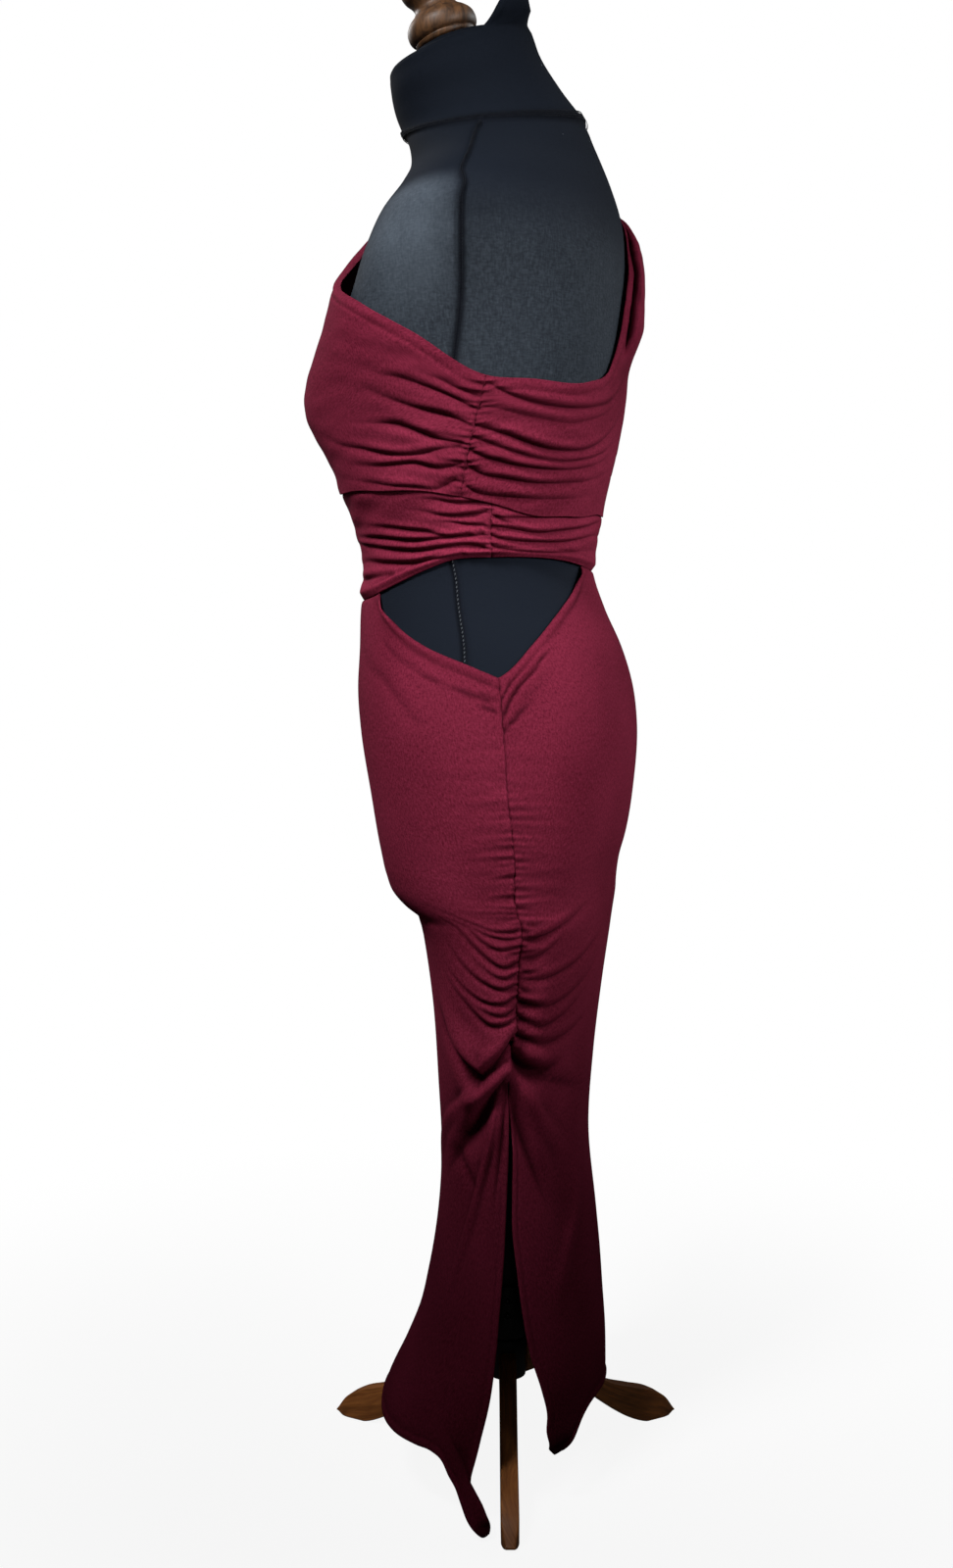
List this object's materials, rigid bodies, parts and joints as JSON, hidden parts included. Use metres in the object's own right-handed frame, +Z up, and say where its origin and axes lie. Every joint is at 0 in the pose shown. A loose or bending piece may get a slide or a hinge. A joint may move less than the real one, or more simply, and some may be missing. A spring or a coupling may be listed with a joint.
{
  "type": "one-shoulder maxi dress on a limbless dress form with a wooden tripod stand",
  "caption": "One-shoulder maxi dress in draped jersey with a side cut-out and a side slit, worn by a limbless dress form on a wooden tripod stand.",
  "frame": {"origin": "on the floor, at the middle of the base of the whole: the dress, the form and its stand", "axes": "+Z up, +X towards the wearer's left (the bare shoulder, the cut-out and the slit), -Y towards the front of the dress"},
  "size_m": [0.3688, 0.3324, 1.3752],
  "materials": {
    "jersey": "matte burgundy knit jersey with a soft sheen",
    "form_cover": "matte black knit cover",
    "knob_wood": "satin varnish over pale turned wood",
    "leg_wood": "satin varnish over warm brown wood",
    "black_steel": "satin black paint",
    "screw_steel": "dulled bare steel"
  },
  "bodies": {
    "root": {"bodice_front": "jersey", "bodice_back": "jersey", "band_front": "jersey", "band_back": "jersey", "skirt_front": "jersey", "skirt_back": "jersey", "form_torso": "form_cover", "neck_knob": "knob_wood", "pole": "black_steel", "hub": "black_steel", "collar": "black_steel", "collar_screw_1": "screw_steel", "collar_screw_2": "screw_steel", "leg_1": "leg_wood", "leg_2": "leg_wood", "leg_3": "leg_wood"}
  },
  "joints": []
}
